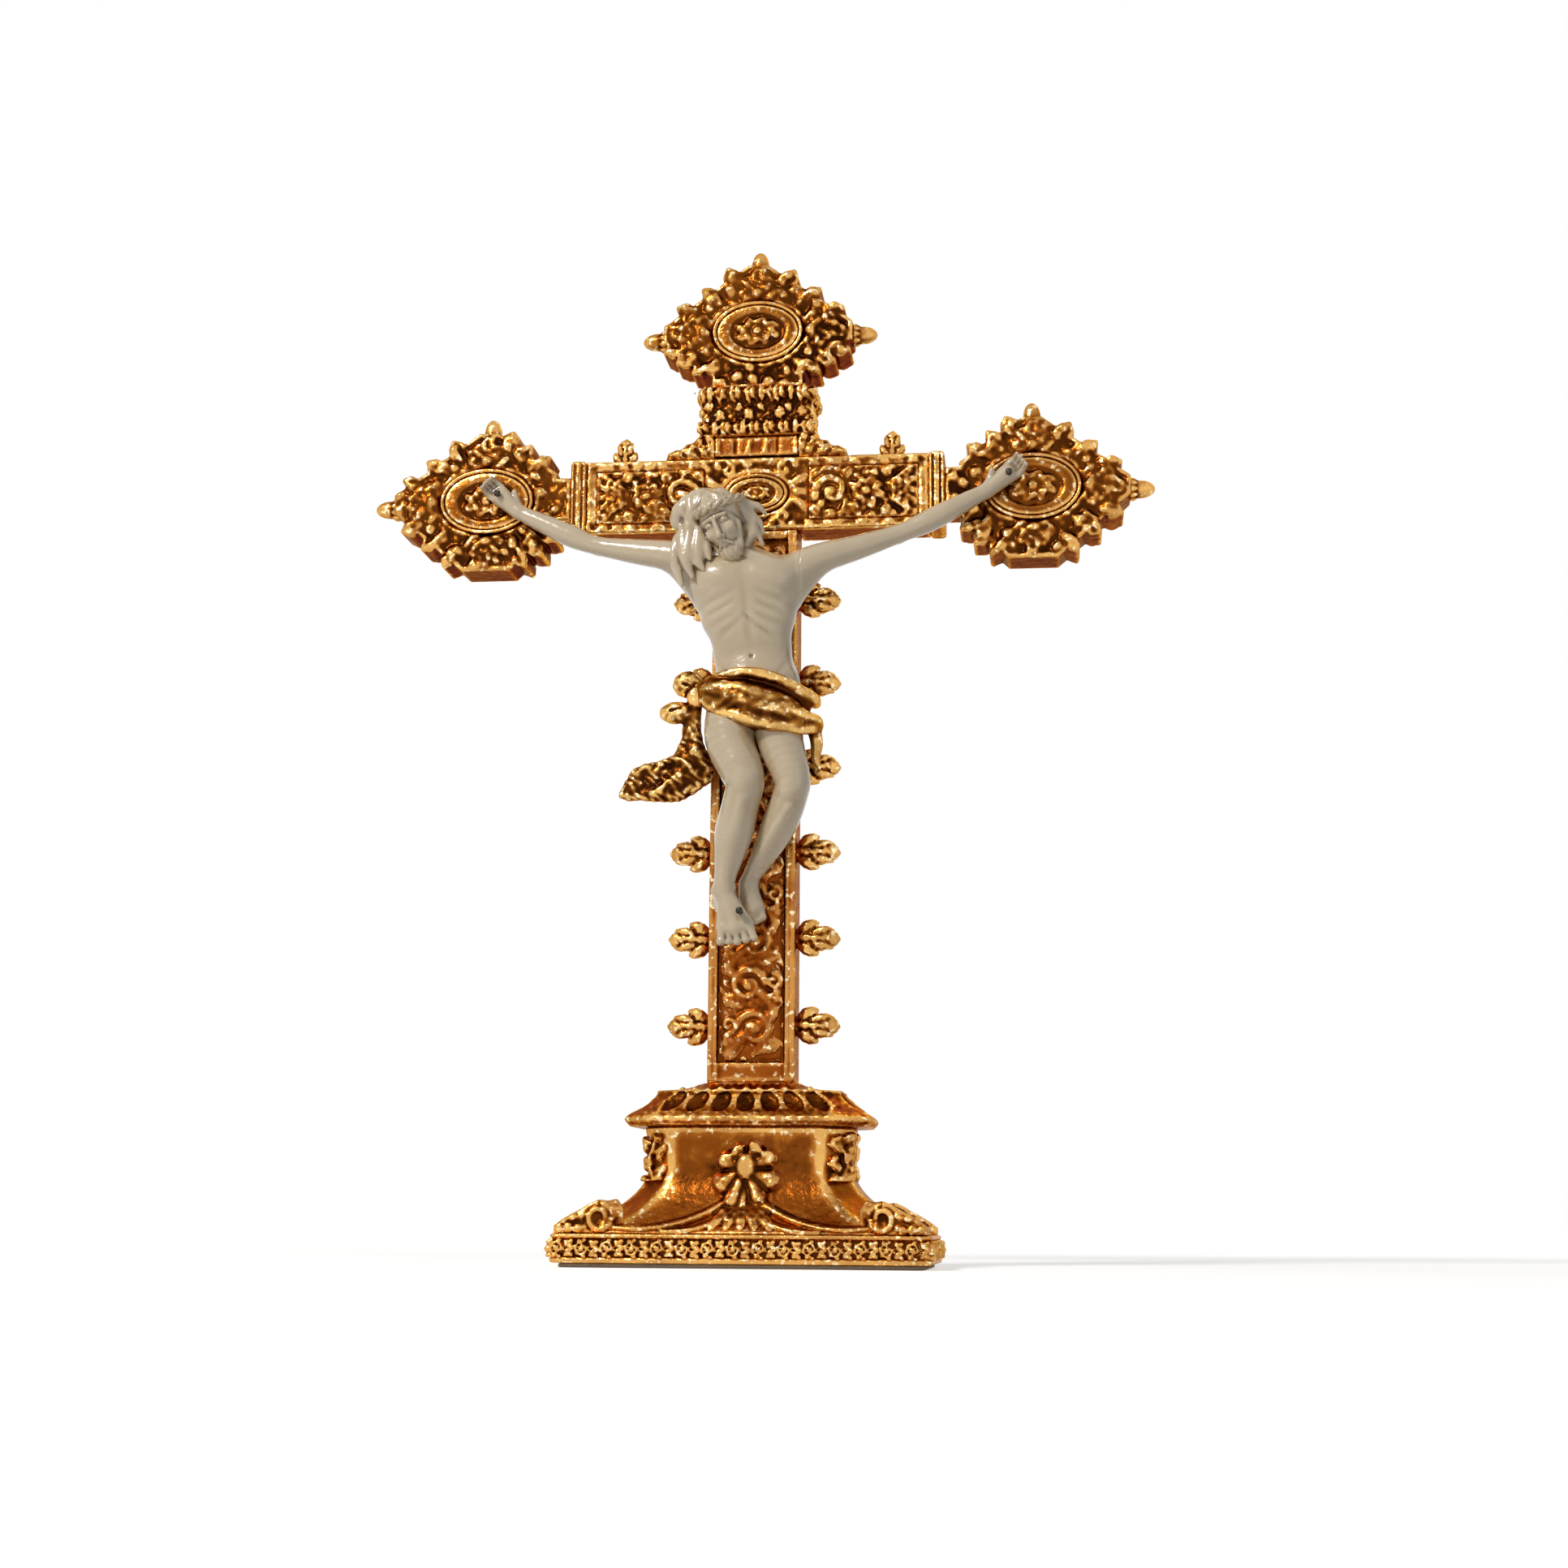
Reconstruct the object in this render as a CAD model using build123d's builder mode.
from build123d import *
import math
import os

# Standing crucifix. Millimetres, +Z up, front towards -Y, origin under the middle of the base.
# Left and right are the viewer's.
os.makedirs("parts", exist_ok=True)

# Driving sizes of the base
pad_thickness = 1.2
pad_inset = 2.0
plinth_width = 103.0
plinth_depth = 56.0
plinth_height = 7.8
plinth_wall = 4.0
plinth_roof = 2.4
plinth_corner = 3.0
frieze_height = 4.4
frieze_depth = 1.0
frieze_boss_radius = 1.7
frieze_boss_pitch = 6.6
frieze_boss_proud = 0.6
frieze_boss_taper = 35
plate_thickness = 1.6
pedestal_height = 29.0
pedestal_wall = 2.6
flare_width = 101.0
flare_depth = 54.0
waist_width = 56.0
waist_depth = 30.0
head_width = 58.0
head_depth = 34.0
cornice_height = 9.0
cornice_lip = 2.2
cornice_width = 69.6
cornice_depth = 41.6
cornice_top_width = 48.0
cornice_top_depth = 26.0
roof_height = 3.3
roof_top_width = 28.0
roof_top_depth = 16.5
volute_eye_radius = 4.4
volute_depth = 9.0
applied_relief = 1.3

# Driving sizes of the cross
cross_thickness = 13.0
shaft_width = 24.5
shaft_clear_height = 159.2
tenon_width = 15.0
tenon_depth = 7.6
tenon_length = 38.0
sleeve_wall = 2.2
sleeve_floor = 4.0
crossbar_height = 22.0
crossbar_length = 100.4
neck_height = 6.5
collar_height = 15.0
collar_width = 33.4
collar_depth = 16.6
collar_bead_radius = 2.5
end_bar_width = 4.6
end_bar_height = 22.6
end_bar_proud = 0.8
trefoil_reach = 35.0
trefoil_rise = 27.0
trefoil_centre_offset = 25.2
top_trefoil_centre_offset = 17.3
side_medallion_width = 28.2
side_medallion_height = 20.2
top_medallion_width = 27.0
top_medallion_height = 19.2
centre_medallion_width = 19.0
centre_medallion_height = 12.4
medallion_seat = 1.0
medallion_thickness = 1.5
ring_width = 1.3
ring_thickness = 1.8
panel_sink = 1.3
panel_border = 3.0
panel_plate = 0.6
panel_relief = 0.5
crocket_length = 12.0
crocket_height = 11.0
crocket_thickness = 7.0
crocket_pitch = 24.6
first_crocket_height = 16.0
crocket_top_gap = 12.0
crossbar_crocket_place = 39.5
crossbar_crocket_length = 8.6
spandrel_width = 14.8
bump_radius = 2.4
bud_length = 9.0
bud_radius = 3.2

# Driving sizes of the figure: from toes to the top of the head, and from each nail to its medallion
figure_height = 132.0
left_hand_inset = 4.9
right_hand_inset = 6.6

# Fixings and fits
fit = 0.1
slide_fit = 0.3
overrun = 1.0
joint_tenon_height = 8.0
joint_tenon_depth = 5.0
joint_tenon_length = 11.0
screw_radius = 1.2
screw_head_radius = 2.6
screw_head_height = 1.0
screw_length = 4.4
boss_radius = 3.5
bolt_radius = 2.0
bolt_head_radius = 3.4
pin_radius = 1.0
nail_radius = 0.8
nail_head_radius = 1.2
nail_head_height = 0.8
peg_radius = 1.6
stud_radius = 1.5
nut_width = 6.0
nut_height = 2.4

# Heights and faces that follow
plinth_bottom = pad_thickness
plinth_top = plinth_bottom + plinth_height
pedestal_top = plinth_top + pedestal_height
cornice_top = pedestal_top + cornice_height
foot_z = cornice_top + roof_height
crossbar_bottom = foot_z + shaft_clear_height
crocket_count = int((shaft_clear_height - first_crocket_height - crocket_top_gap) / crocket_pitch) + 1
crossbar_top = crossbar_bottom + crossbar_height
crossbar_z = crossbar_bottom + crossbar_height / 2
neck_top = crossbar_top + neck_height
collar_top = neck_top + collar_height
top_trefoil_z = collar_top + top_trefoil_centre_offset
cross_front = -cross_thickness / 2
cross_back = cross_thickness / 2
end_bar_outer = crossbar_length / 2 + end_bar_width
side_trefoil_x = end_bar_outer + trefoil_centre_offset
front_face = Plane.XZ.offset(cross_thickness / 2)


def write(piece, name):
    piece.part.label = name
    export_step(piece.part, f"parts/{name}.step")


def rod(start, end, radius, mode=Mode.ADD):
    axis = Vector(*end) - Vector(*start)
    with BuildSketch(Plane(origin=start, z_dir=axis)) as section:
        Circle(radius)
    extrude(section.sketch, amount=axis.length, mode=mode)


def block(low, high, mode=Mode.ADD):
    middle = tuple((a + b) / 2 for a, b in zip(low, high))
    size = [b - a for a, b in zip(low, high)]
    with Locations(middle):
        Box(*size, mode=mode)


# Base: pad, plate, plinth and frieze
screw_span_x = plinth_width - 2 * (plinth_wall + boss_radius)
screw_span_y = plinth_depth - 2 * (plinth_wall + boss_radius)
pocket_width = plinth_width - 2 * plinth_wall
pocket_depth = plinth_depth - 2 * plinth_wall
plate_top = plinth_bottom + plate_thickness
pocket_top = plinth_top - plinth_roof
frieze_bottom = plinth_bottom + (plinth_height - frieze_height) / 2
frieze_z = frieze_bottom + frieze_height / 2
sleeve_width = tenon_width + 2 * (slide_fit + sleeve_wall)
sleeve_depth = tenon_depth + 2 * (slide_fit + sleeve_wall)

with BuildPart() as felt_pad:
    with BuildSketch(Plane.XY):
        RectangleRounded(plinth_width - 2 * pad_inset, plinth_depth - 2 * pad_inset, plinth_corner)
    extrude(amount=pad_thickness)
write(felt_pad, "felt_pad")

with BuildPart() as bottom_plate:
    with BuildSketch(Plane.XY.offset(plinth_bottom)):
        Rectangle(pocket_width - 2 * fit, pocket_depth - 2 * fit)
        Circle(bolt_radius + fit, mode=Mode.SUBTRACT)
        with GridLocations(screw_span_x, screw_span_y, 2, 2):
            Circle(screw_radius + fit, mode=Mode.SUBTRACT)
    extrude(amount=plate_thickness)
    with BuildSketch(Plane.XY.offset(plinth_bottom)):
        Circle(bolt_head_radius + fit)
        with GridLocations(screw_span_x, screw_span_y, 2, 2):
            Circle(screw_head_radius + fit)
    extrude(amount=screw_head_height, mode=Mode.SUBTRACT)
write(bottom_plate, "bottom_plate")

with BuildPart() as bottom_screws:
    with BuildSketch(Plane.XY.offset(plinth_bottom)):
        with GridLocations(screw_span_x, screw_span_y, 2, 2):
            Circle(screw_head_radius)
    extrude(amount=screw_head_height)
    with BuildSketch(Plane.XY.offset(plinth_bottom + screw_head_height)):
        with GridLocations(screw_span_x, screw_span_y, 2, 2):
            Circle(screw_radius)
    extrude(amount=screw_length - screw_head_height)
write(bottom_screws, "bottom_screws")

with BuildPart() as plinth:
    with BuildSketch(Plane.XY.offset(plinth_bottom)):
        RectangleRounded(plinth_width, plinth_depth, plinth_corner)
    extrude(amount=plinth_height)
    with BuildSketch(Plane.XY.offset(plinth_bottom)):
        Rectangle(pocket_width, pocket_depth)
    extrude(amount=plinth_height - plinth_roof, mode=Mode.SUBTRACT)
    with BuildSketch(Plane.XY.offset(plate_top)):
        with GridLocations(screw_span_x, screw_span_y, 2, 2):
            Circle(boss_radius)
    extrude(amount=pocket_top - plate_top)
    with BuildSketch(Plane.XY.offset(plate_top)):
        with GridLocations(screw_span_x, screw_span_y, 2, 2):
            Circle(screw_radius + fit)
    extrude(amount=screw_length, mode=Mode.SUBTRACT)
    with BuildSketch(Plane.XY.offset(frieze_bottom)):
        RectangleRounded(plinth_width + overrun, plinth_depth + overrun, plinth_corner)
        RectangleRounded(
            plinth_width - 2 * frieze_depth,
            plinth_depth - 2 * frieze_depth,
            plinth_corner - frieze_depth,
            mode=Mode.SUBTRACT,
        )
    extrude(amount=frieze_height, mode=Mode.SUBTRACT)
    with BuildSketch(Plane.XY.offset(pocket_top)):
        Rectangle(sleeve_width + 2 * fit, sleeve_depth + 2 * fit)
    extrude(amount=plinth_roof, mode=Mode.SUBTRACT)
write(plinth, "plinth")

frieze_front_count = int((plinth_width - 2 * plinth_corner) / frieze_boss_pitch)
frieze_side_count = int((plinth_depth - 2 * plinth_corner) / frieze_boss_pitch)
frieze_faces = (
    (Plane(origin=(0, -plinth_depth / 2, frieze_z), x_dir=(1, 0, 0), z_dir=(0, -1, 0)), frieze_front_count),
    (Plane(origin=(0, plinth_depth / 2, frieze_z), x_dir=(-1, 0, 0), z_dir=(0, 1, 0)), frieze_front_count),
    (Plane(origin=(plinth_width / 2, 0, frieze_z), x_dir=(0, 1, 0), z_dir=(1, 0, 0)), frieze_side_count),
    (Plane(origin=(-plinth_width / 2, 0, frieze_z), x_dir=(0, -1, 0), z_dir=(-1, 0, 0)), frieze_side_count),
)

with BuildPart() as plinth_frieze:
    with BuildSketch(Plane.XY.offset(frieze_bottom)):
        RectangleRounded(plinth_width, plinth_depth, plinth_corner)
        RectangleRounded(
            plinth_width - 2 * frieze_depth,
            plinth_depth - 2 * frieze_depth,
            plinth_corner - frieze_depth,
            mode=Mode.SUBTRACT,
        )
    extrude(amount=frieze_height)
    for face, count in frieze_faces:
        with BuildSketch(face):
            with GridLocations(frieze_boss_pitch, 0, count, 1):
                Circle(frieze_boss_radius)
        extrude(amount=frieze_boss_proud, taper=frieze_boss_taper)
write(plinth_frieze, "plinth_frieze")

# Pedestal: a hollow body, concave all round, with canted corners
waist_share = 0.64
flare_power = 2.4
cant_share = 0.17
pedestal_level_shares = (0, 0.08, 0.2, 0.38, 0.64, 0.84, 1)


def pedestal_half(share, foot, waist, head):
    if share < waist_share:
        return (waist + (foot - waist) * (1 - share / waist_share) ** flare_power) / 2
    return (waist + (head - waist) * ((share - waist_share) / (1 - waist_share)) ** 2) / 2


def canted(half_x, half_y):
    cant = cant_share * (half_x + half_y)
    Polygon(
        (half_x - cant, -half_y), (half_x, cant - half_y), (half_x, half_y - cant), (half_x - cant, half_y),
        (cant - half_x, half_y), (-half_x, half_y - cant),
        (-half_x, cant - half_y), (cant - half_x, -half_y),
    )


def pedestal_form(grow):
    with BuildPart() as form:
        for share in pedestal_level_shares:
            with BuildSketch(Plane.XY.offset(plinth_top + share * pedestal_height)):
                canted(
                    pedestal_half(share, flare_width, waist_width, head_width) + grow,
                    pedestal_half(share, flare_depth, waist_depth, head_depth) + grow,
                )
        loft()
    return form.part


pedestal_solid = pedestal_form(0)
pedestal_hollow = pedestal_form(-pedestal_wall)
pedestal_skin = pedestal_form(applied_relief)

with BuildPart() as pedestal:
    add(pedestal_solid)
    add(pedestal_hollow, mode=Mode.SUBTRACT)
write(pedestal, "pedestal")

# Palmette on the front: flower, stem and fan, one relief that follows the concave face
flower_height_share = 0.6
flower_z = plinth_top + flower_height_share * pedestal_height
petal_count = 7
petal_ring = 4.6
petal_radius = 2.3
stem_width = 2.6
fan_width = 19.0
fan_height = 7.0

with BuildPart() as palmette:
    with BuildSketch(Plane.XZ):
        with Locations((0, flower_z)):
            Circle(petal_ring)
            with PolarLocations(petal_ring, petal_count, start_angle=90):
                Circle(petal_radius)
        with Locations((0, (plinth_top + flower_z) / 2)):
            Rectangle(stem_width, flower_z - plinth_top)
        with Locations((0, plinth_top)):
            Ellipse(fan_width / 2, fan_height)
    extrude(amount=plinth_depth / 2)
    add(pedestal_skin, mode=Mode.INTERSECT)
    add(pedestal_solid, mode=Mode.SUBTRACT)
write(palmette, "palmette")

# Leaf patches on the four canted corners
leaf_low_share = 0.5
leaf_high_share = 0.96
leaf_inner_share = 0.36

with BuildPart() as corner_leaves:
    for side in (-1, 1):
        for depth_side in (-1, 1):
            leaf_x = side * waist_width / 2 * (1 - leaf_inner_share)
            leaf_y = depth_side * waist_depth / 2 * (1 - leaf_inner_share)
            far_x = side * flare_width / 2
            far_y = depth_side * flare_depth / 2
            block(
                (min(leaf_x, far_x), min(leaf_y, far_y), plinth_top + leaf_low_share * pedestal_height),
                (max(leaf_x, far_x), max(leaf_y, far_y), plinth_top + leaf_high_share * pedestal_height),
            )
    add(pedestal_skin, mode=Mode.INTERSECT)
    add(pedestal_solid, mode=Mode.SUBTRACT)
write(corner_leaves, "corner_leaves")

# Volutes: scrolls that stand on the plinth at the front and back corners
volute_x = 38.0
volute_tip_x = flare_width / 2

with BuildPart() as corner_volutes:
    for side in (-1, 1):
        for depth_side in (-1, 1):
            start = plinth_depth / 2 if depth_side < 0 else volute_depth - plinth_depth / 2
            with BuildSketch(Plane.XZ.offset(start)):
                with Locations((side * volute_x, plinth_top + volute_eye_radius)):
                    Circle(volute_eye_radius)
                Polygon(
                    (side * volute_x, plinth_top),
                    (side * volute_tip_x, plinth_top),
                    (side * volute_tip_x, plinth_top + volute_eye_radius / 2),
                    (side * volute_x, plinth_top + 2 * volute_eye_radius),
                    align=None,
                )
            extrude(amount=-volute_depth)
    add(pedestal_solid, mode=Mode.SUBTRACT)
write(corner_volutes, "corner_volutes")

# Cornice: lip, gadrooned slope and low roof, pierced for the sleeve
gadroon_front_count = 7
gadroon_side_count = 4
gadroon_low_radius_share = 0.48
gadroon_high_radius_share = 0.42
slope_low = pedestal_top + cornice_lip


def gadroon(low, high, low_pitch, high_pitch):
    axis = Vector(*high) - Vector(*low)
    with BuildSketch(Plane(origin=low, z_dir=axis)) as low_end:
        Circle(low_pitch * gadroon_low_radius_share)
    with BuildSketch(Plane(origin=high, z_dir=axis)) as high_end:
        Circle(high_pitch * gadroon_high_radius_share)
    loft([low_end.sketch, high_end.sketch])


low_pitch_x = cornice_width / (gadroon_front_count + 1)
high_pitch_x = cornice_top_width / (gadroon_front_count + 1)
low_pitch_y = cornice_depth / (gadroon_side_count + 1)
high_pitch_y = cornice_top_depth / (gadroon_side_count + 1)

with BuildPart() as cornice:
    with BuildSketch(Plane.XY.offset(pedestal_top)):
        canted(cornice_width / 2, cornice_depth / 2)
    extrude(amount=cornice_lip)
    with BuildSketch(Plane.XY.offset(slope_low)):
        canted(cornice_width / 2, cornice_depth / 2)
    with BuildSketch(Plane.XY.offset(cornice_top)):
        canted(cornice_top_width / 2, cornice_top_depth / 2)
    loft(ruled=True)
    for i in range(gadroon_front_count):
        place = i - (gadroon_front_count - 1) / 2
        for side in (-1, 1):
            gadroon(
                (place * low_pitch_x, side * (cornice_depth / 2 - low_pitch_x / 2), slope_low),
                (place * high_pitch_x, side * cornice_top_depth / 2, cornice_top - high_pitch_x / 2),
                low_pitch_x,
                high_pitch_x,
            )
    for i in range(gadroon_side_count):
        place = i - (gadroon_side_count - 1) / 2
        for side in (-1, 1):
            gadroon(
                (side * (cornice_width / 2 - low_pitch_y / 2), place * low_pitch_y, slope_low),
                (side * cornice_top_width / 2, place * high_pitch_y, cornice_top - high_pitch_y / 2),
                low_pitch_y,
                high_pitch_y,
            )
    block(
        (-cornice_width, -cornice_depth, pedestal_top - low_pitch_x - low_pitch_y),
        (cornice_width, cornice_depth, pedestal_top),
        Mode.SUBTRACT,
    )
    with BuildSketch(Plane.XY.offset(cornice_top)):
        canted(cornice_top_width / 2, cornice_top_depth / 2)
    with BuildSketch(Plane.XY.offset(foot_z)):
        canted(roof_top_width / 2, roof_top_depth / 2)
    loft(ruled=True)
    with BuildSketch(Plane.XY.offset(pedestal_top)):
        Rectangle(sleeve_width + 2 * fit, sleeve_depth + 2 * fit)
    extrude(amount=foot_z - pedestal_top, mode=Mode.SUBTRACT)
write(cornice, "cornice")

# Socket sleeve that takes the shaft's tenon, bolted down from below
sleeve_top = foot_z - slide_fit
tenon_bottom = foot_z - tenon_length

with BuildPart() as socket_sleeve:
    with BuildSketch(Plane.XY.offset(plate_top)):
        Rectangle(sleeve_width, sleeve_depth)
    extrude(amount=sleeve_top - plate_top)
    with BuildSketch(Plane.XY.offset(plate_top + sleeve_floor)):
        Rectangle(tenon_width + 2 * slide_fit, tenon_depth + 2 * slide_fit)
    extrude(amount=sleeve_top - plate_top, mode=Mode.SUBTRACT)
    rod(
        (0, 0, plate_top - overrun),
        (0, 0, plate_top + sleeve_floor + overrun),
        bolt_radius + fit,
        Mode.SUBTRACT,
    )
write(socket_sleeve, "socket_sleeve")

with BuildPart() as sleeve_bolt:
    rod((0, 0, plinth_bottom), (0, 0, plinth_bottom + screw_head_height), bolt_head_radius)
    rod((0, 0, plinth_bottom), (0, 0, plate_top + sleeve_floor), bolt_radius)
write(sleeve_bolt, "sleeve_bolt")

# The figure's places, as shares of its height: u to the right, w out from the cross, v up from the crossbar


def figure_point(u, w, v):
    return (u * figure_height, cross_front - w * figure_height, crossbar_z + v * figure_height)


hand_nail_height_shares = (0.0, 0.016)
hand_nail_x = (left_hand_inset - side_trefoil_x, side_trefoil_x - right_hand_inset)
foot_nail_shares = (-0.012, -0.94)
nail_out_share = 0.052
foot_nail_out_share = 0.112
nail_in = cross_thickness / 2
hand_nails_at = [
    (x, cross_front, crossbar_z + share * figure_height)
    for x, share in zip(hand_nail_x, hand_nail_height_shares)
]
foot_nail_at = figure_point(foot_nail_shares[0], 0, foot_nail_shares[1])
stud_height_share = -0.26
stud_at = figure_point(0, 0, stud_height_share)
stud_reach_share = 0.075


def nail_hole(place, out_share):
    tip = (place[0], cross_front + nail_in, place[2])
    head = (place[0], cross_front - out_share * figure_height, place[2])
    rod(head, tip, nail_radius + fit, Mode.SUBTRACT)


def stud_hole():
    front = (stud_at[0], cross_front - stud_reach_share * figure_height, stud_at[2])
    rod(front, (stud_at[0], cross_back + overrun, stud_at[2]), stud_radius + fit, Mode.SUBTRACT)


# Shaft: bar with tenon, front half cut away at the lap, sunk panel below it
panel_width = shaft_width - 2 * panel_border
panel_bottom = foot_z + 2 * panel_border
panel_top = crossbar_bottom - panel_border
lap_screw_x = shaft_width / 4
neck_pin_z = crossbar_top + neck_height / 2

with BuildPart() as shaft:
    block((-shaft_width / 2, cross_front, foot_z), (shaft_width / 2, cross_back, neck_top))
    block((-tenon_width / 2, -tenon_depth / 2, tenon_bottom), (tenon_width / 2, tenon_depth / 2, foot_z))
    block(
        (-shaft_width, cross_front - overrun, crossbar_bottom),
        (shaft_width, 0, crossbar_top),
        Mode.SUBTRACT,
    )
    block(
        (-panel_width / 2, cross_front - overrun, panel_bottom),
        (panel_width / 2, cross_front + panel_sink, panel_top),
        Mode.SUBTRACT,
    )
    block(
        (-joint_tenon_height / 2, -joint_tenon_depth / 2, crossbar_top),
        (joint_tenon_height / 2, joint_tenon_depth / 2, neck_top + overrun),
        Mode.SUBTRACT,
    )
    for side in (-1, 1):
        rod(
            (side * lap_screw_x, -overrun, crossbar_z),
            (side * lap_screw_x, cross_back + overrun, crossbar_z),
            screw_radius + fit,
            Mode.SUBTRACT,
        )
    rod((0, 0, neck_pin_z), (0, cross_back + overrun, neck_pin_z), pin_radius + fit, Mode.SUBTRACT)
    nail_hole(foot_nail_at, foot_nail_out_share)
    stud_hole()
write(shaft, "shaft")

# Vine panel: thin plate with a winding stem, leaves and berries
vine_wave = 24.6
vine_swing_share = 0.24
vine_half_share = 0.075
berry_share = 0.13
panel_gap = fit
vine_length = panel_top - panel_bottom - 2 * panel_border
vine_points_per_wave = 8
vine_points = int(vine_length / vine_wave * vine_points_per_wave)

with BuildPart() as vine_panel:
    with BuildSketch(Plane.XZ.offset(cross_thickness / 2 - panel_sink)):
        with Locations((0, (panel_bottom + panel_top) / 2)):
            Rectangle(panel_width - 2 * panel_gap, panel_top - panel_bottom - 2 * panel_gap)
    extrude(amount=panel_plate)
    left_edge = []
    right_edge = []
    for i in range(vine_points + 1):
        height = panel_bottom + panel_border + i * vine_length / vine_points
        swing = vine_swing_share * panel_width * math.sin(2 * math.pi * i / vine_points_per_wave)
        left_edge.append((swing - vine_half_share * panel_width, height))
        right_edge.append((swing + vine_half_share * panel_width, height))
    with BuildSketch(Plane.XZ.offset(cross_thickness / 2 - panel_sink + panel_plate)):
        with BuildLine():
            Spline(*left_edge)
            Line(left_edge[-1], right_edge[-1])
            Spline(*reversed(right_edge))
            Line(right_edge[0], left_edge[0])
        make_face()
        for i in range(vine_points_per_wave // 4, vine_points, vine_points_per_wave // 2):
            height = panel_bottom + panel_border + i * vine_length / vine_points
            swing = -math.sin(2 * math.pi * i / vine_points_per_wave) * vine_swing_share * panel_width
            with Locations((swing, height)):
                Circle(berry_share * panel_width)
    extrude(amount=panel_relief)
    nail_hole(foot_nail_at, foot_nail_out_share)
    stud_hole()
write(vine_panel, "vine_panel")

# Crockets: three-lobed buds along the edges of shaft and crossbar, flat at the root
crocket_lobe_shares = ((0.72, 0, 0.28), (0.4, 0.27, 0.23), (0.4, -0.27, 0.23))
crocket_stem_share = 0.46


def crocket(root_x, root_z, length, height, direction):
    out = Vector(*direction)
    across = Vector(-direction[1], direction[0])
    for along, sideways, radius in crocket_lobe_shares:
        spot = Vector(root_x, root_z) + out * (along * length) + across * (sideways * height)
        with Locations((spot.X, spot.Y)):
            Circle(radius * length)
    stem = out * (crocket_stem_share * length)
    half = across * (crocket_stem_share * height / 2)
    root = Vector(root_x, root_z)
    corners = (root - half, root + stem - half, root + stem + half, root + half)
    Polygon(*[(corner.X, corner.Y) for corner in corners], align=None)


with BuildPart() as shaft_crockets:
    with BuildSketch(Plane.XZ.offset(crocket_thickness / 2)):
        for side in (-1, 1):
            for i in range(crocket_count):
                level = foot_z + first_crocket_height + i * crocket_pitch
                crocket(side * shaft_width / 2, level, crocket_length, crocket_height, (side, 0))
    extrude(amount=-crocket_thickness)
write(shaft_crockets, "shaft_crockets")

with BuildPart() as crossbar_crockets:
    with BuildSketch(Plane.XZ.offset(crocket_thickness / 2)):
        for side in (-1, 1):
            place = side * crossbar_crocket_place
            crocket(place, crossbar_top, crossbar_crocket_length, crocket_height, (0, 1))
    extrude(amount=-crocket_thickness)
write(crossbar_crockets, "crossbar_crockets")

# Crossbar: lapped over the shaft, mortised at both ends
mortise_inner = crossbar_length / 2 - joint_tenon_length + end_bar_width
scroll_inner = shaft_width / 2 + panel_border
scroll_outer = crossbar_length / 2 - panel_border
scroll_half = crossbar_height / 2 - panel_border
side_pin_x = (mortise_inner + crossbar_length / 2) / 2

with BuildPart() as crossbar:
    block(
        (-crossbar_length / 2, cross_front, crossbar_bottom),
        (crossbar_length / 2, cross_back, crossbar_top),
    )
    block(
        (-shaft_width / 2 - fit, 0, crossbar_bottom - overrun),
        (shaft_width / 2 + fit, cross_back + overrun, crossbar_top + overrun),
        Mode.SUBTRACT,
    )
    for side in (-1, 1):
        inner, outer = sorted((side * scroll_inner, side * scroll_outer))
        block(
            (inner, cross_front - overrun, crossbar_z - scroll_half),
            (outer, cross_front + panel_sink, crossbar_z + scroll_half),
            Mode.SUBTRACT,
        )
        inner, outer = sorted((side * mortise_inner, side * (crossbar_length / 2 + overrun)))
        block(
            (inner, -joint_tenon_depth / 2, crossbar_z - joint_tenon_height / 2),
            (outer, joint_tenon_depth / 2, crossbar_z + joint_tenon_height / 2),
            Mode.SUBTRACT,
        )
        rod(
            (side * side_pin_x, 0, crossbar_z),
            (side * side_pin_x, cross_back + overrun, crossbar_z),
            pin_radius + fit,
            Mode.SUBTRACT,
        )
        rod(
            (side * lap_screw_x, cross_front / 2, crossbar_z),
            (side * lap_screw_x, cross_back, crossbar_z),
            screw_radius + fit,
            Mode.SUBTRACT,
        )
    with BuildSketch(front_face):
        with Locations((0, crossbar_z)):
            Ellipse(centre_medallion_width / 2, centre_medallion_height / 2)
    extrude(amount=-medallion_seat, mode=Mode.SUBTRACT)
write(crossbar, "crossbar")

# Scroll panels in the two arms of the crossbar: leaf scrolls leaning outwards
scroll_leaf_shares = ((-0.3, 0.2, 0.15, 0.26), (0, -0.14, 0.15, 0.28), (0.3, 0.2, 0.15, 0.26))
scroll_lean = 35
scroll_length = scroll_outer - scroll_inner

for side, name in ((-1, "left_scroll_panel"), (1, "right_scroll_panel")):
    with BuildPart() as scroll_panel:
        scroll_x = side * (scroll_inner + scroll_outer) / 2
        with BuildSketch(Plane.XZ.offset(cross_thickness / 2 - panel_sink)):
            with Locations((scroll_x, crossbar_z)):
                Rectangle(scroll_length - 2 * panel_gap, 2 * scroll_half - 2 * panel_gap)
        extrude(amount=panel_plate)
        with BuildSketch(Plane.XZ.offset(cross_thickness / 2 - panel_sink + panel_plate)):
            for along, up, half_width, half_height in scroll_leaf_shares:
                spot = (scroll_x + side * along * scroll_length, crossbar_z + up * scroll_half)
                with Locations(Location(spot, side * scroll_lean)):
                    Ellipse(half_width * scroll_length, half_height * 2 * scroll_half)
        extrude(amount=panel_relief)
    write(scroll_panel, name)

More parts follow.
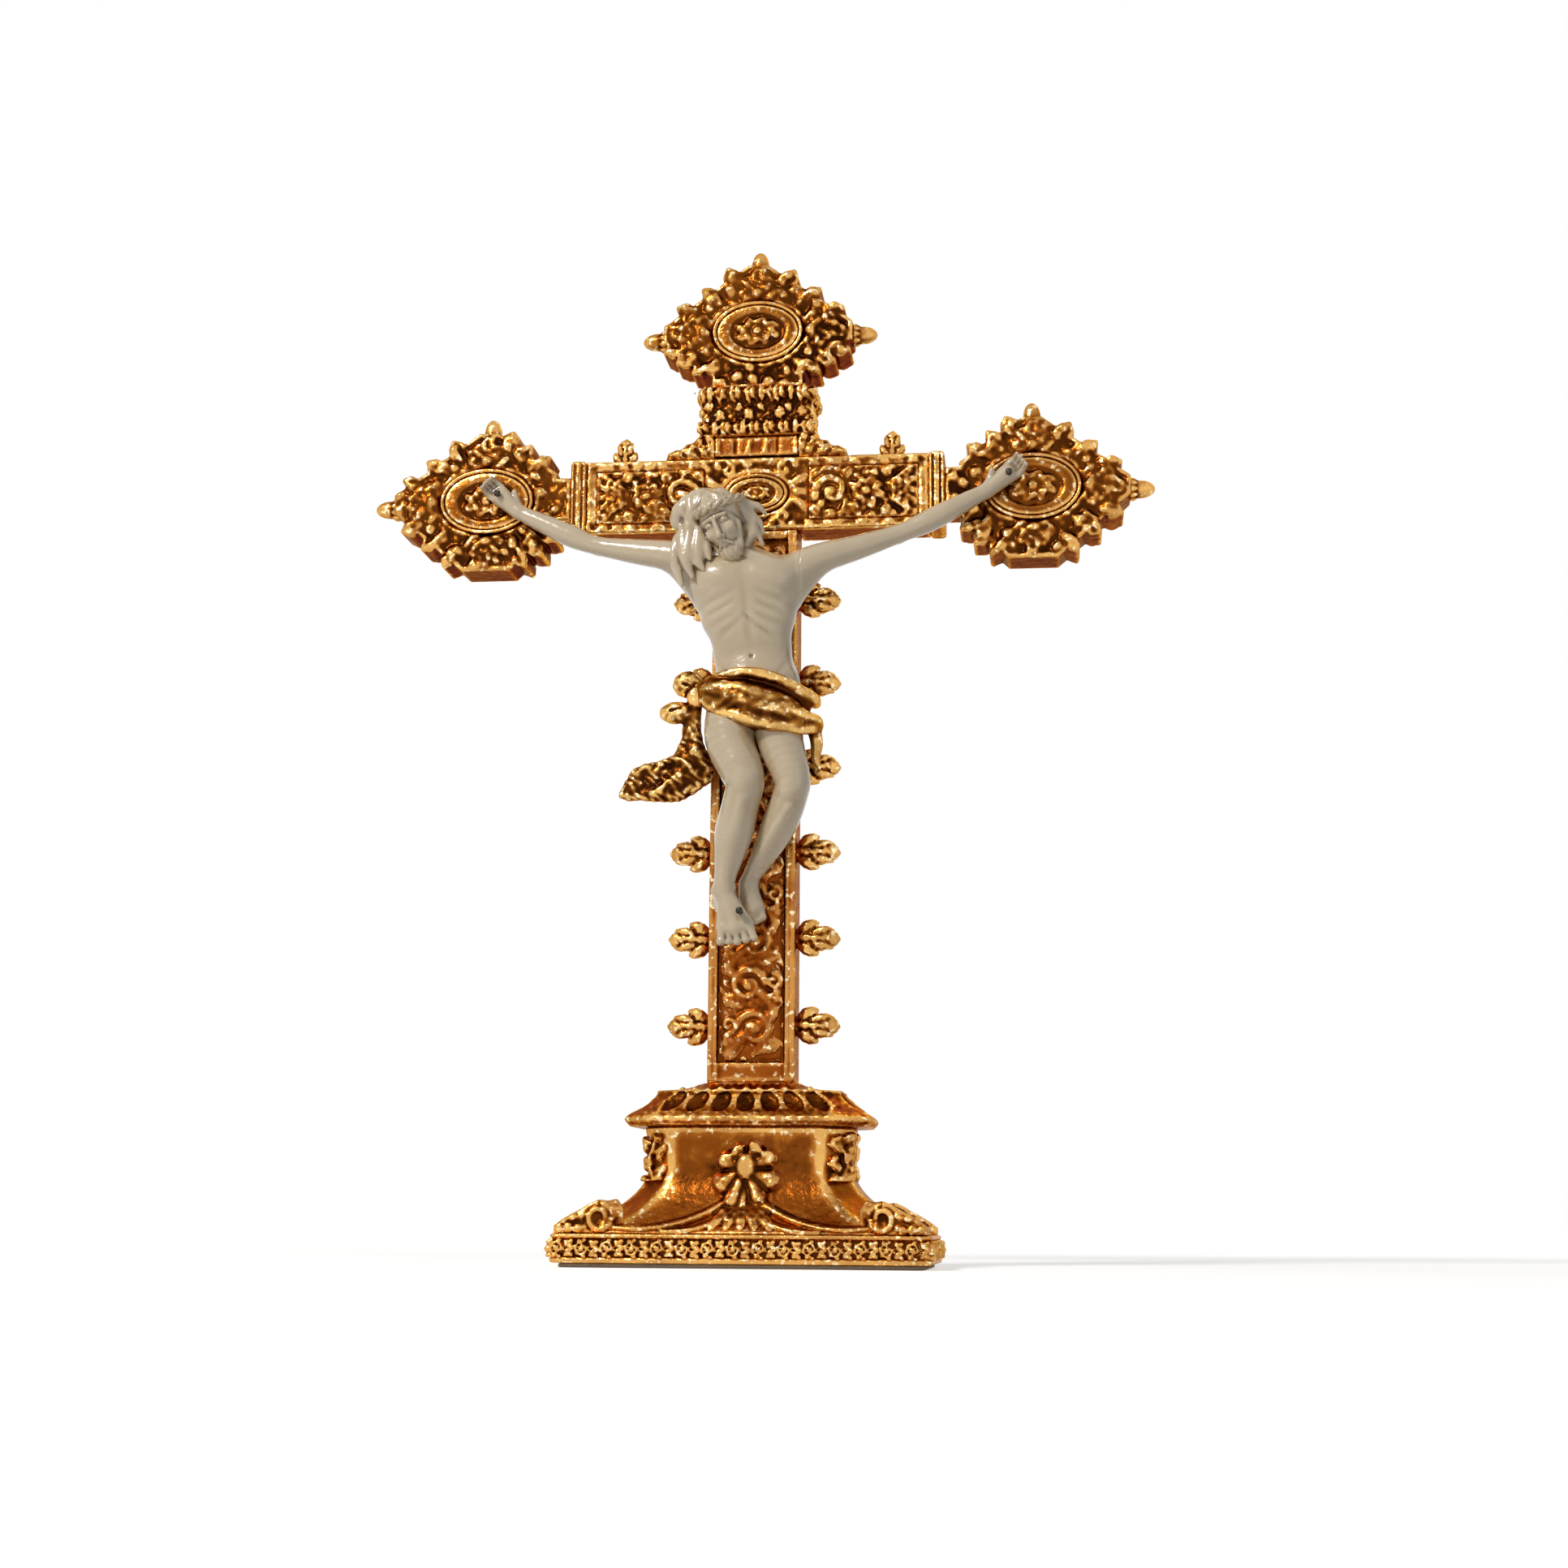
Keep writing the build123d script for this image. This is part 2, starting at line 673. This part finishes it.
# End bars: collars over the joints between crossbar and side trefoils
for side, name in ((-1, "left_end_bar"), (1, "right_end_bar")):
    with BuildPart() as end_bar:
        inner, outer = sorted((side * crossbar_length / 2, side * end_bar_outer))
        block(
            (inner, cross_front - end_bar_proud, crossbar_z - end_bar_height / 2),
            (outer, cross_back + end_bar_proud, crossbar_z + end_bar_height / 2),
        )
        block(
            (inner - overrun, -joint_tenon_depth / 2, crossbar_z - joint_tenon_height / 2),
            (outer + overrun, joint_tenon_depth / 2, crossbar_z + joint_tenon_height / 2),
            Mode.SUBTRACT,
        )
    write(end_bar, name)

# Spandrel leaves in the upper corners of the crossing
spandrel_cut_share = 0.72

with BuildPart() as spandrel_leaves:
    for side in (-1, 1):
        with BuildSketch(Plane.XZ.offset(crocket_thickness / 2)):
            with Locations((side * (shaft_width + spandrel_width) / 2, crossbar_top + neck_height / 2)):
                Rectangle(spandrel_width, neck_height)
            with Locations((side * (shaft_width / 2 + spandrel_width), neck_top)):
                Ellipse(
                    spandrel_width * spandrel_cut_share,
                    neck_height * spandrel_cut_share,
                    mode=Mode.SUBTRACT,
                )
        extrude(amount=-crocket_thickness)
write(spandrel_leaves, "spandrel_leaves")

# Neck collar with two rows of beads
collar_row_shares = (0.3, 0.72)
collar_front_count = 6
collar_side_count = 3

with BuildPart() as neck_collar:
    half_x = collar_width / 2 - collar_bead_radius / 2
    half_y = collar_depth / 2 - collar_bead_radius / 2
    block((-half_x, -half_y, neck_top), (half_x, half_y, collar_top))
    for row_share in collar_row_shares:
        with Locations((0, 0, neck_top + row_share * collar_height)):
            with GridLocations(2 * half_x / collar_front_count, 2 * half_y, collar_front_count, 2):
                Sphere(collar_bead_radius)
            with GridLocations(2 * half_x, 2 * half_y / collar_side_count, 2, collar_side_count):
                Sphere(collar_bead_radius)
    block(
        (-joint_tenon_height / 2, -joint_tenon_depth / 2, neck_top - overrun),
        (joint_tenon_height / 2, joint_tenon_depth / 2, collar_top + overrun),
        Mode.SUBTRACT,
    )
write(neck_collar, "neck_collar")

# Trefoil ends: lozenges with a stem, stepped by small bumps along their edges.
# Corners as shares of reach and rise, outwards and up; bump edges by the numbers of their two corners
side_corner_shares = (
    (0.8, -0.1), (0.8, 0.1), (0.08, 0.78), (-0.08, 0.78),
    (-0.6, 0.3), (-0.6, -0.3), (-0.2, -0.78), (0.2, -0.78),
)
top_corner_shares = (
    (0.8, -0.1), (0.8, 0.1), (0.08, 0.78), (-0.08, 0.78),
    (-0.8, 0.1), (-0.8, -0.1), (-0.38, -0.5), (0.38, -0.5),
)
bump_edges = ((1, 2), (3, 4), (5, 6), (7, 0))
bump_place_shares = (0.2, 0.47, 0.74)
trefoil_stem_share = 0.6
top_stem_share = 0.8
bud_hole_radius_share = 0.4


def trefoil_outline(centre_x, centre_z, side, shares):
    corners = []
    for outwards, up in shares:
        corners.append(Vector(centre_x + side * outwards * trefoil_reach, centre_z + up * trefoil_rise))
    Polygon(*[(corner.X, corner.Y) for corner in corners], align=None)
    for first, last in bump_edges:
        for share in bump_place_shares:
            spot = corners[first] + (corners[last] - corners[first]) * share
            with Locations((spot.X, spot.Y)):
                Circle(bump_radius)


def bud_spots(centre_x, centre_z, directions):
    spots = []
    for x, z in directions:
        tip = Vector(centre_x + x * trefoil_reach, 0, centre_z + z * trefoil_rise)
        out = Vector(x, 0, z)
        spots.append((tip - out * bud_length, out))
    return spots


def bud_holes(spots):
    for root, out in spots:
        start = root - out * (bud_length / 3)
        rod(start, (root + out * bud_length), bud_hole_radius_share * bud_radius + fit, Mode.SUBTRACT)


side_trefoils = {}
for side, name, nail_at in ((-1, "left", hand_nails_at[0]), (1, "right", hand_nails_at[1])):
    centre_x = side * side_trefoil_x
    spots = bud_spots(centre_x, crossbar_z, ((side, 0), (0, 1)))
    stem_half = trefoil_stem_share * crossbar_height / 2
    with BuildPart() as trefoil:
        with BuildSketch(front_face):
            trefoil_outline(centre_x, crossbar_z, side, side_corner_shares)
            with Locations((side * (end_bar_outer + trefoil_centre_offset / 2), crossbar_z)):
                Rectangle(trefoil_centre_offset, 2 * stem_half)
        extrude(amount=-cross_thickness)
        inner, outer = sorted((side * end_bar_outer, side * (end_bar_outer - joint_tenon_length + fit)))
        block(
            (inner, fit - joint_tenon_depth / 2, crossbar_z + fit - joint_tenon_height / 2),
            (outer, joint_tenon_depth / 2 - fit, crossbar_z - fit + joint_tenon_height / 2),
        )
        with BuildSketch(front_face):
            with Locations((centre_x, crossbar_z)):
                Ellipse(side_medallion_width / 2, side_medallion_height / 2)
        extrude(amount=-medallion_seat, mode=Mode.SUBTRACT)
        rod(
            (side * side_pin_x, 0, crossbar_z),
            (side * side_pin_x, cross_back, crossbar_z),
            pin_radius + fit,
            Mode.SUBTRACT,
        )
        bud_holes(spots)
        nail_hole(nail_at, nail_out_share)
    write(trefoil, f"{name}_trefoil")
    side_trefoils[name] = (trefoil.part, spots)

top_spots = bud_spots(0, top_trefoil_z, ((-1, 0), (1, 0), (0, 1)))
with BuildPart() as top_trefoil:
    with BuildSketch(front_face):
        trefoil_outline(0, top_trefoil_z, 1, top_corner_shares)
        with Locations((0, collar_top + top_trefoil_centre_offset / 2)):
            Rectangle(top_stem_share * collar_width, top_trefoil_centre_offset)
    extrude(amount=-cross_thickness)
    block(
        (fit - joint_tenon_height / 2, fit - joint_tenon_depth / 2, crossbar_top + fit),
        (joint_tenon_height / 2 - fit, joint_tenon_depth / 2 - fit, collar_top),
    )
    with BuildSketch(front_face):
        with Locations((0, top_trefoil_z)):
            Ellipse(top_medallion_width / 2, top_medallion_height / 2)
    extrude(amount=-medallion_seat, mode=Mode.SUBTRACT)
    rod((0, 0, neck_pin_z), (0, cross_back, neck_pin_z), pin_radius + fit, Mode.SUBTRACT)
    bud_holes(top_spots)
write(top_trefoil, "top_trefoil")

# Acorn buds at the tips, each with a peg into its trefoil
for name, carrier, spots in (
    ("left_trefoil_buds", *side_trefoils["left"]),
    ("right_trefoil_buds", *side_trefoils["right"]),
    ("top_trefoil_buds", top_trefoil.part, top_spots),
):
    with BuildPart() as buds:
        for root, out in spots:
            bud_plane = Plane(origin=root, x_dir=out, z_dir=(0, -1, 0))
            with BuildSketch(bud_plane):
                with Locations((bud_length / 2, 0)):
                    Ellipse(bud_length / 2, bud_radius)
                with Locations((bud_length / 2, -bud_radius)):
                    Rectangle(bud_length, 2 * bud_radius, mode=Mode.SUBTRACT)
            revolve(axis=Axis(root, out))
        add(carrier, mode=Mode.SUBTRACT)
        for root, out in spots:
            peg_start = root - out * (bud_length / 4)
            rod(peg_start, (root + out * (bud_length / 2)), bud_hole_radius_share * bud_radius)
    write(buds, name)

# Medallions: an oval disc with a boss inside an oval ring, sunk in their seats
medallion_boss_share = 0.42
medallion_petal_count = 8
medallion_petal_share = 0.13
medallion_petal_ring_share = 0.62
medallions = (
    ("left", -side_trefoil_x, crossbar_z, side_medallion_width, side_medallion_height, hand_nails_at[0]),
    ("right", side_trefoil_x, crossbar_z, side_medallion_width, side_medallion_height, hand_nails_at[1]),
    ("top", 0, top_trefoil_z, top_medallion_width, top_medallion_height, None),
    ("centre", 0, crossbar_z, centre_medallion_width, centre_medallion_height, None),
)
seat_plane = Plane.XZ.offset(cross_thickness / 2 - medallion_seat)

for name, centre_x, centre_z, width, height, nail_at in medallions:
    outer_x = width / 2 - fit
    outer_z = height / 2 - fit
    disc_x = outer_x - ring_width - fit
    disc_z = outer_z - ring_width - fit
    with BuildPart() as ring:
        with BuildSketch(seat_plane):
            with Locations((centre_x, centre_z)):
                Ellipse(outer_x, outer_z)
                Ellipse(outer_x - ring_width, outer_z - ring_width, mode=Mode.SUBTRACT)
        extrude(amount=ring_thickness)
    write(ring, f"{name}_medallion_ring")
    with BuildPart() as medallion:
        with BuildSketch(seat_plane):
            with Locations((centre_x, centre_z)):
                Ellipse(disc_x, disc_z)
        extrude(amount=medallion_thickness - panel_relief)
        with BuildSketch(seat_plane.offset(medallion_thickness - panel_relief)):
            with Locations((centre_x, centre_z)):
                Ellipse(medallion_boss_share * disc_x, medallion_boss_share * disc_z)
            for i in range(medallion_petal_count):
                turn = 2 * math.pi * i / medallion_petal_count
                spot_x = centre_x + medallion_petal_ring_share * disc_x * math.cos(turn)
                spot_z = centre_z + medallion_petal_ring_share * disc_z * math.sin(turn)
                with Locations((spot_x, spot_z)):
                    Circle(medallion_petal_share * disc_x)
        extrude(amount=panel_relief)
        if nail_at:
            nail_hole(nail_at, nail_out_share)
    write(medallion, f"{name}_medallion")

# Pins through the trefoil tenons and screws through the half lap, all from behind
with BuildPart() as tenon_pins:
    for side in (-1, 1):
        rod((side * side_pin_x, 0, crossbar_z), (side * side_pin_x, cross_back, crossbar_z), pin_radius)
    rod((0, 0, neck_pin_z), (0, cross_back, neck_pin_z), pin_radius)
write(tenon_pins, "tenon_pins")

with BuildPart() as lap_screws:
    for side in (-1, 1):
        place = side * lap_screw_x
        rod((place, cross_front / 2 + fit, crossbar_z), (place, cross_back, crossbar_z), screw_radius)
        head_top = (place, cross_back + screw_head_height, crossbar_z)
        rod((place, cross_back, crossbar_z), head_top, screw_head_radius)
write(lap_screws, "lap_screws")

# Figure. Torso rows: height, sideways, outwards, half width, half depth
torso_shares = (
    (-0.42, 0.017, 0.068, 0.09, 0.054), (-0.375, 0.004, 0.067, 0.09, 0.053),
    (-0.292, -0.006, 0.07, 0.11, 0.062),
    (-0.216, -0.011, 0.07, 0.121, 0.062), (-0.178, -0.015, 0.068, 0.1, 0.052),
    (-0.14, -0.022, 0.07, 0.045, 0.04),
)
loincloth_shares = (
    (-0.42, 0.02, 0.071, 0.112, 0.062), (-0.47, 0.018, 0.074, 0.127, 0.068),
    (-0.53, 0.02, 0.075, 0.127, 0.068),
    (-0.565, 0.022, 0.076, 0.114, 0.062),
)
shoulder_peg_shares = (
    ((-0.06, 0.066, -0.178), (-0.19, 0.056, -0.157)),
    ((0.04, 0.066, -0.178), (0.18, 0.056, -0.16)),
)
neck_peg_shares = ((-0.02, 0.07, -0.19), (-0.045, 0.082, -0.12))


def stacked(shares):
    with BuildPart() as form:
        for v, u, w, half_width, half_depth in shares:
            x, y, z = figure_point(u, w, v)
            with BuildSketch(Plane(origin=(x, y, z), x_dir=(1, 0, 0), z_dir=(0, 0, 1))):
                Ellipse(half_width * figure_height, half_depth * figure_height)
        loft()
    return form.part


def limb(shares):
    points = [Vector(*figure_point(u, w, v)) for u, w, v, half_depth, half_width in shares]
    with BuildPart() as form:
        for i, row in enumerate(shares):
            before = points[max(i - 1, 0)]
            after = points[min(i + 1, len(points) - 1)]
            with BuildSketch(Plane(origin=points[i], x_dir=(0, 1, 0), z_dir=after - before)):
                Ellipse(row[3] * figure_height, row[4] * figure_height)
        loft()
    return form.part


def peg_hole(ends):
    rod(figure_point(*ends[0]), figure_point(*ends[1]), peg_radius + fit, Mode.SUBTRACT)


torso_form = stacked(torso_shares)
loincloth_form = stacked(loincloth_shares)

with BuildPart() as corpus_torso:
    add(torso_form)
    for ends in shoulder_peg_shares:
        peg_hole(ends)
    peg_hole(neck_peg_shares)
    stud_hole()
write(corpus_torso, "corpus_torso")

# Head, tilted to the viewer's left, with a plain crown round the brow
head_shares = (-0.054, 0.083, -0.104)
head_half_length_share = 0.095
head_half_width_share = 0.066
head_tilt_share = -0.34
crown_up_share = 0.36
crown_radius_share = 0.0665
crown_thickness_share = 0.009
head_at = Vector(*figure_point(*head_shares))
head_up = Vector(head_tilt_share, 0, 1).normalized()
head_plane = Plane(origin=head_at, x_dir=head_up, z_dir=(0, -1, 0))

with BuildPart() as corpus_head:
    with BuildSketch(head_plane):
        Ellipse(head_half_length_share * figure_height, head_half_width_share * figure_height)
        with Locations((0, -head_half_width_share * figure_height)):
            Rectangle(
                2 * head_half_length_share * figure_height,
                2 * head_half_width_share * figure_height,
                mode=Mode.SUBTRACT,
            )
    revolve(axis=Axis(head_at, head_up))
    add(torso_form, mode=Mode.SUBTRACT)
    peg_hole(neck_peg_shares)
write(corpus_head, "corpus_head")

crown_at = head_at + head_up * (crown_up_share * head_half_length_share * figure_height)
with BuildPart() as crown_ring:
    with Locations(Plane(origin=crown_at, x_dir=(0, 1, 0), z_dir=head_up)):
        Torus(crown_radius_share * figure_height, crown_thickness_share * figure_height)
crown_form = crown_ring.part

with BuildPart() as crown_of_thorns:
    add(crown_form)
    add(corpus_head.part, mode=Mode.SUBTRACT)
write(crown_of_thorns, "crown_of_thorns")

# Arms. Rows: along from shoulder to nail, outwards, height, half depth, half width
left_shoulder_share = -0.095
right_shoulder_share = 0.075
left_arm_shares = (
    (0, 0.064, -0.174, 0.044, 0.046),
    (0.12, 0.06, -0.165, 0.036, 0.039),
    (0.264, 0.055, -0.152, 0.028, 0.031),
    (0.527, 0.046, -0.122, 0.021, 0.022),
    (0.728, 0.04, -0.08, 0.024, 0.026),
    (0.903, 0.033, -0.038, 0.018, 0.019),
    (0.998, 0.028, 0.004, 0.014, 0.028),
    (1.07, 0.027, 0.035, 0.009, 0.024),
)
right_arm_shares = (
    (0, 0.064, -0.177, 0.044, 0.046),
    (0.12, 0.06, -0.166, 0.036, 0.039),
    (0.26, 0.055, -0.15, 0.028, 0.031),
    (0.514, 0.046, -0.112, 0.021, 0.022),
    (0.717, 0.04, -0.066, 0.024, 0.026),
    (0.896, 0.033, -0.02, 0.018, 0.019),
    (0.992, 0.028, 0.02, 0.014, 0.028),
    (1.065, 0.027, 0.05, 0.009, 0.024),
)


def arm_rows(shoulder_share, nail_at, shares):
    shoulder_x = shoulder_share * figure_height
    rows = []
    for along, out, height, half_depth, half_width in shares:
        x = shoulder_x + along * (nail_at[0] - shoulder_x)
        rows.append((x / figure_height, out, height, half_depth, half_width))
    return rows


left_arm_rows = arm_rows(left_shoulder_share, hand_nails_at[0], left_arm_shares)
right_arm_rows = arm_rows(right_shoulder_share, hand_nails_at[1], right_arm_shares)

# Legs. Rows: sideways, outwards, height, half depth, half width
left_leg_shares = (
    (-0.035, 0.078, -0.5, 0.052, 0.063),
    (-0.022, 0.09, -0.595, 0.047, 0.056),
    (-0.008, 0.1, -0.67, 0.038, 0.042),
    (-0.022, 0.086, -0.76, 0.038, 0.046),
    (-0.036, 0.072, -0.885, 0.022, 0.023),
    (-0.022, 0.076, -0.945, 0.022, 0.036),
    (-0.014, 0.081, -1.01, 0.012, 0.046),
)
right_leg_shares = (
    (0.085, 0.075, -0.5, 0.048, 0.053),
    (0.092, 0.085, -0.6, 0.043, 0.046),
    (0.094, 0.092, -0.685, 0.036, 0.04),
    (0.055, 0.066, -0.775, 0.033, 0.036),
    (0.008, 0.036, -0.868, 0.018, 0.019),
    (0.01, 0.032, -0.93, 0.017, 0.032),
    (0.02, 0.034, -0.985, 0.009, 0.03),
)
left_leg_form = limb(left_leg_shares)

for name, rows, ends, nail_at in (
    ("corpus_left_arm", left_arm_rows, shoulder_peg_shares[0], hand_nails_at[0]),
    ("corpus_right_arm", right_arm_rows, shoulder_peg_shares[1], hand_nails_at[1]),
):
    arm_form = limb(rows)
    with BuildPart() as corpus_arm:
        add(arm_form)
        add(torso_form, mode=Mode.SUBTRACT)
        add(corpus_head.part, mode=Mode.SUBTRACT)
        add(crown_form, mode=Mode.SUBTRACT)
        peg_hole(ends)
        nail_hole(nail_at, nail_out_share)
    write(corpus_arm, name)

with BuildPart() as corpus_left_leg:
    add(left_leg_form)
    add(loincloth_form, mode=Mode.SUBTRACT)
    nail_hole(foot_nail_at, foot_nail_out_share)
write(corpus_left_leg, "corpus_left_leg")

right_leg_form = limb(right_leg_shares)
with BuildPart() as corpus_right_leg:
    add(right_leg_form)
    add(loincloth_form, mode=Mode.SUBTRACT)
    add(left_leg_form, mode=Mode.SUBTRACT)
    nail_hole(foot_nail_at, foot_nail_out_share)
write(corpus_right_leg, "corpus_right_leg")

# Loincloth round the hips, and its tail hanging from the knot at the viewer's left
with BuildPart() as loincloth:
    add(loincloth_form)
write(loincloth, "loincloth")

tail_shares = (
    (-0.12, 0.085, -0.43, 0.022, 0.026),
    (-0.138, 0.088, -0.485, 0.024, 0.036),
    (-0.132, 0.082, -0.54, 0.012, 0.02),
    (-0.148, 0.076, -0.605, 0.012, 0.046),
    (-0.172, 0.068, -0.675, 0.014, 0.095),
)
tail_form = limb(tail_shares)
with BuildPart() as loincloth_tail:
    add(tail_form)
    add(loincloth_form, mode=Mode.SUBTRACT)
    add(left_leg_form, mode=Mode.SUBTRACT)
write(loincloth_tail, "loincloth_tail")

# Nails, pegs, and the stud with its nut that holds the figure to the shaft
with BuildPart() as hand_nails:
    for place in hand_nails_at:
        head_y = cross_front - nail_out_share * figure_height
        rod((place[0], head_y, place[2]), (place[0], cross_front + nail_in - fit, place[2]), nail_radius)
        rod((place[0], head_y, place[2]), (place[0], head_y - nail_head_height, place[2]), nail_head_radius)
write(hand_nails, "hand_nails")

with BuildPart() as foot_nail:
    head_y = cross_front - foot_nail_out_share * figure_height
    nail_tip = (foot_nail_at[0], cross_front + nail_in - fit, foot_nail_at[2])
    rod((foot_nail_at[0], head_y, foot_nail_at[2]), nail_tip, nail_radius)
    rod(
        (foot_nail_at[0], head_y, foot_nail_at[2]),
        (foot_nail_at[0], head_y - nail_head_height, foot_nail_at[2]),
        nail_head_radius,
    )
write(foot_nail, "foot_nail")

with BuildPart() as shoulder_pegs:
    for ends in shoulder_peg_shares:
        rod(figure_point(*ends[0]), figure_point(*ends[1]), peg_radius)
write(shoulder_pegs, "shoulder_pegs")

with BuildPart() as neck_peg:
    rod(figure_point(*neck_peg_shares[0]), figure_point(*neck_peg_shares[1]), peg_radius)
write(neck_peg, "neck_peg")

with BuildPart() as corpus_stud:
    stud_front = cross_front - stud_reach_share * figure_height + fit
    stud_end = cross_back + nut_height + overrun
    rod((stud_at[0], stud_front, stud_at[2]), (stud_at[0], stud_end, stud_at[2]), stud_radius)
write(corpus_stud, "corpus_stud")

with BuildPart() as corpus_nut:
    with BuildSketch(Plane.XZ.offset(-cross_back)):
        with Locations((stud_at[0], stud_at[2])):
            RegularPolygon(nut_width / 2, 6, major_radius=False)
            Circle(stud_radius + fit, mode=Mode.SUBTRACT)
    extrude(amount=-nut_height)
write(corpus_nut, "corpus_nut")
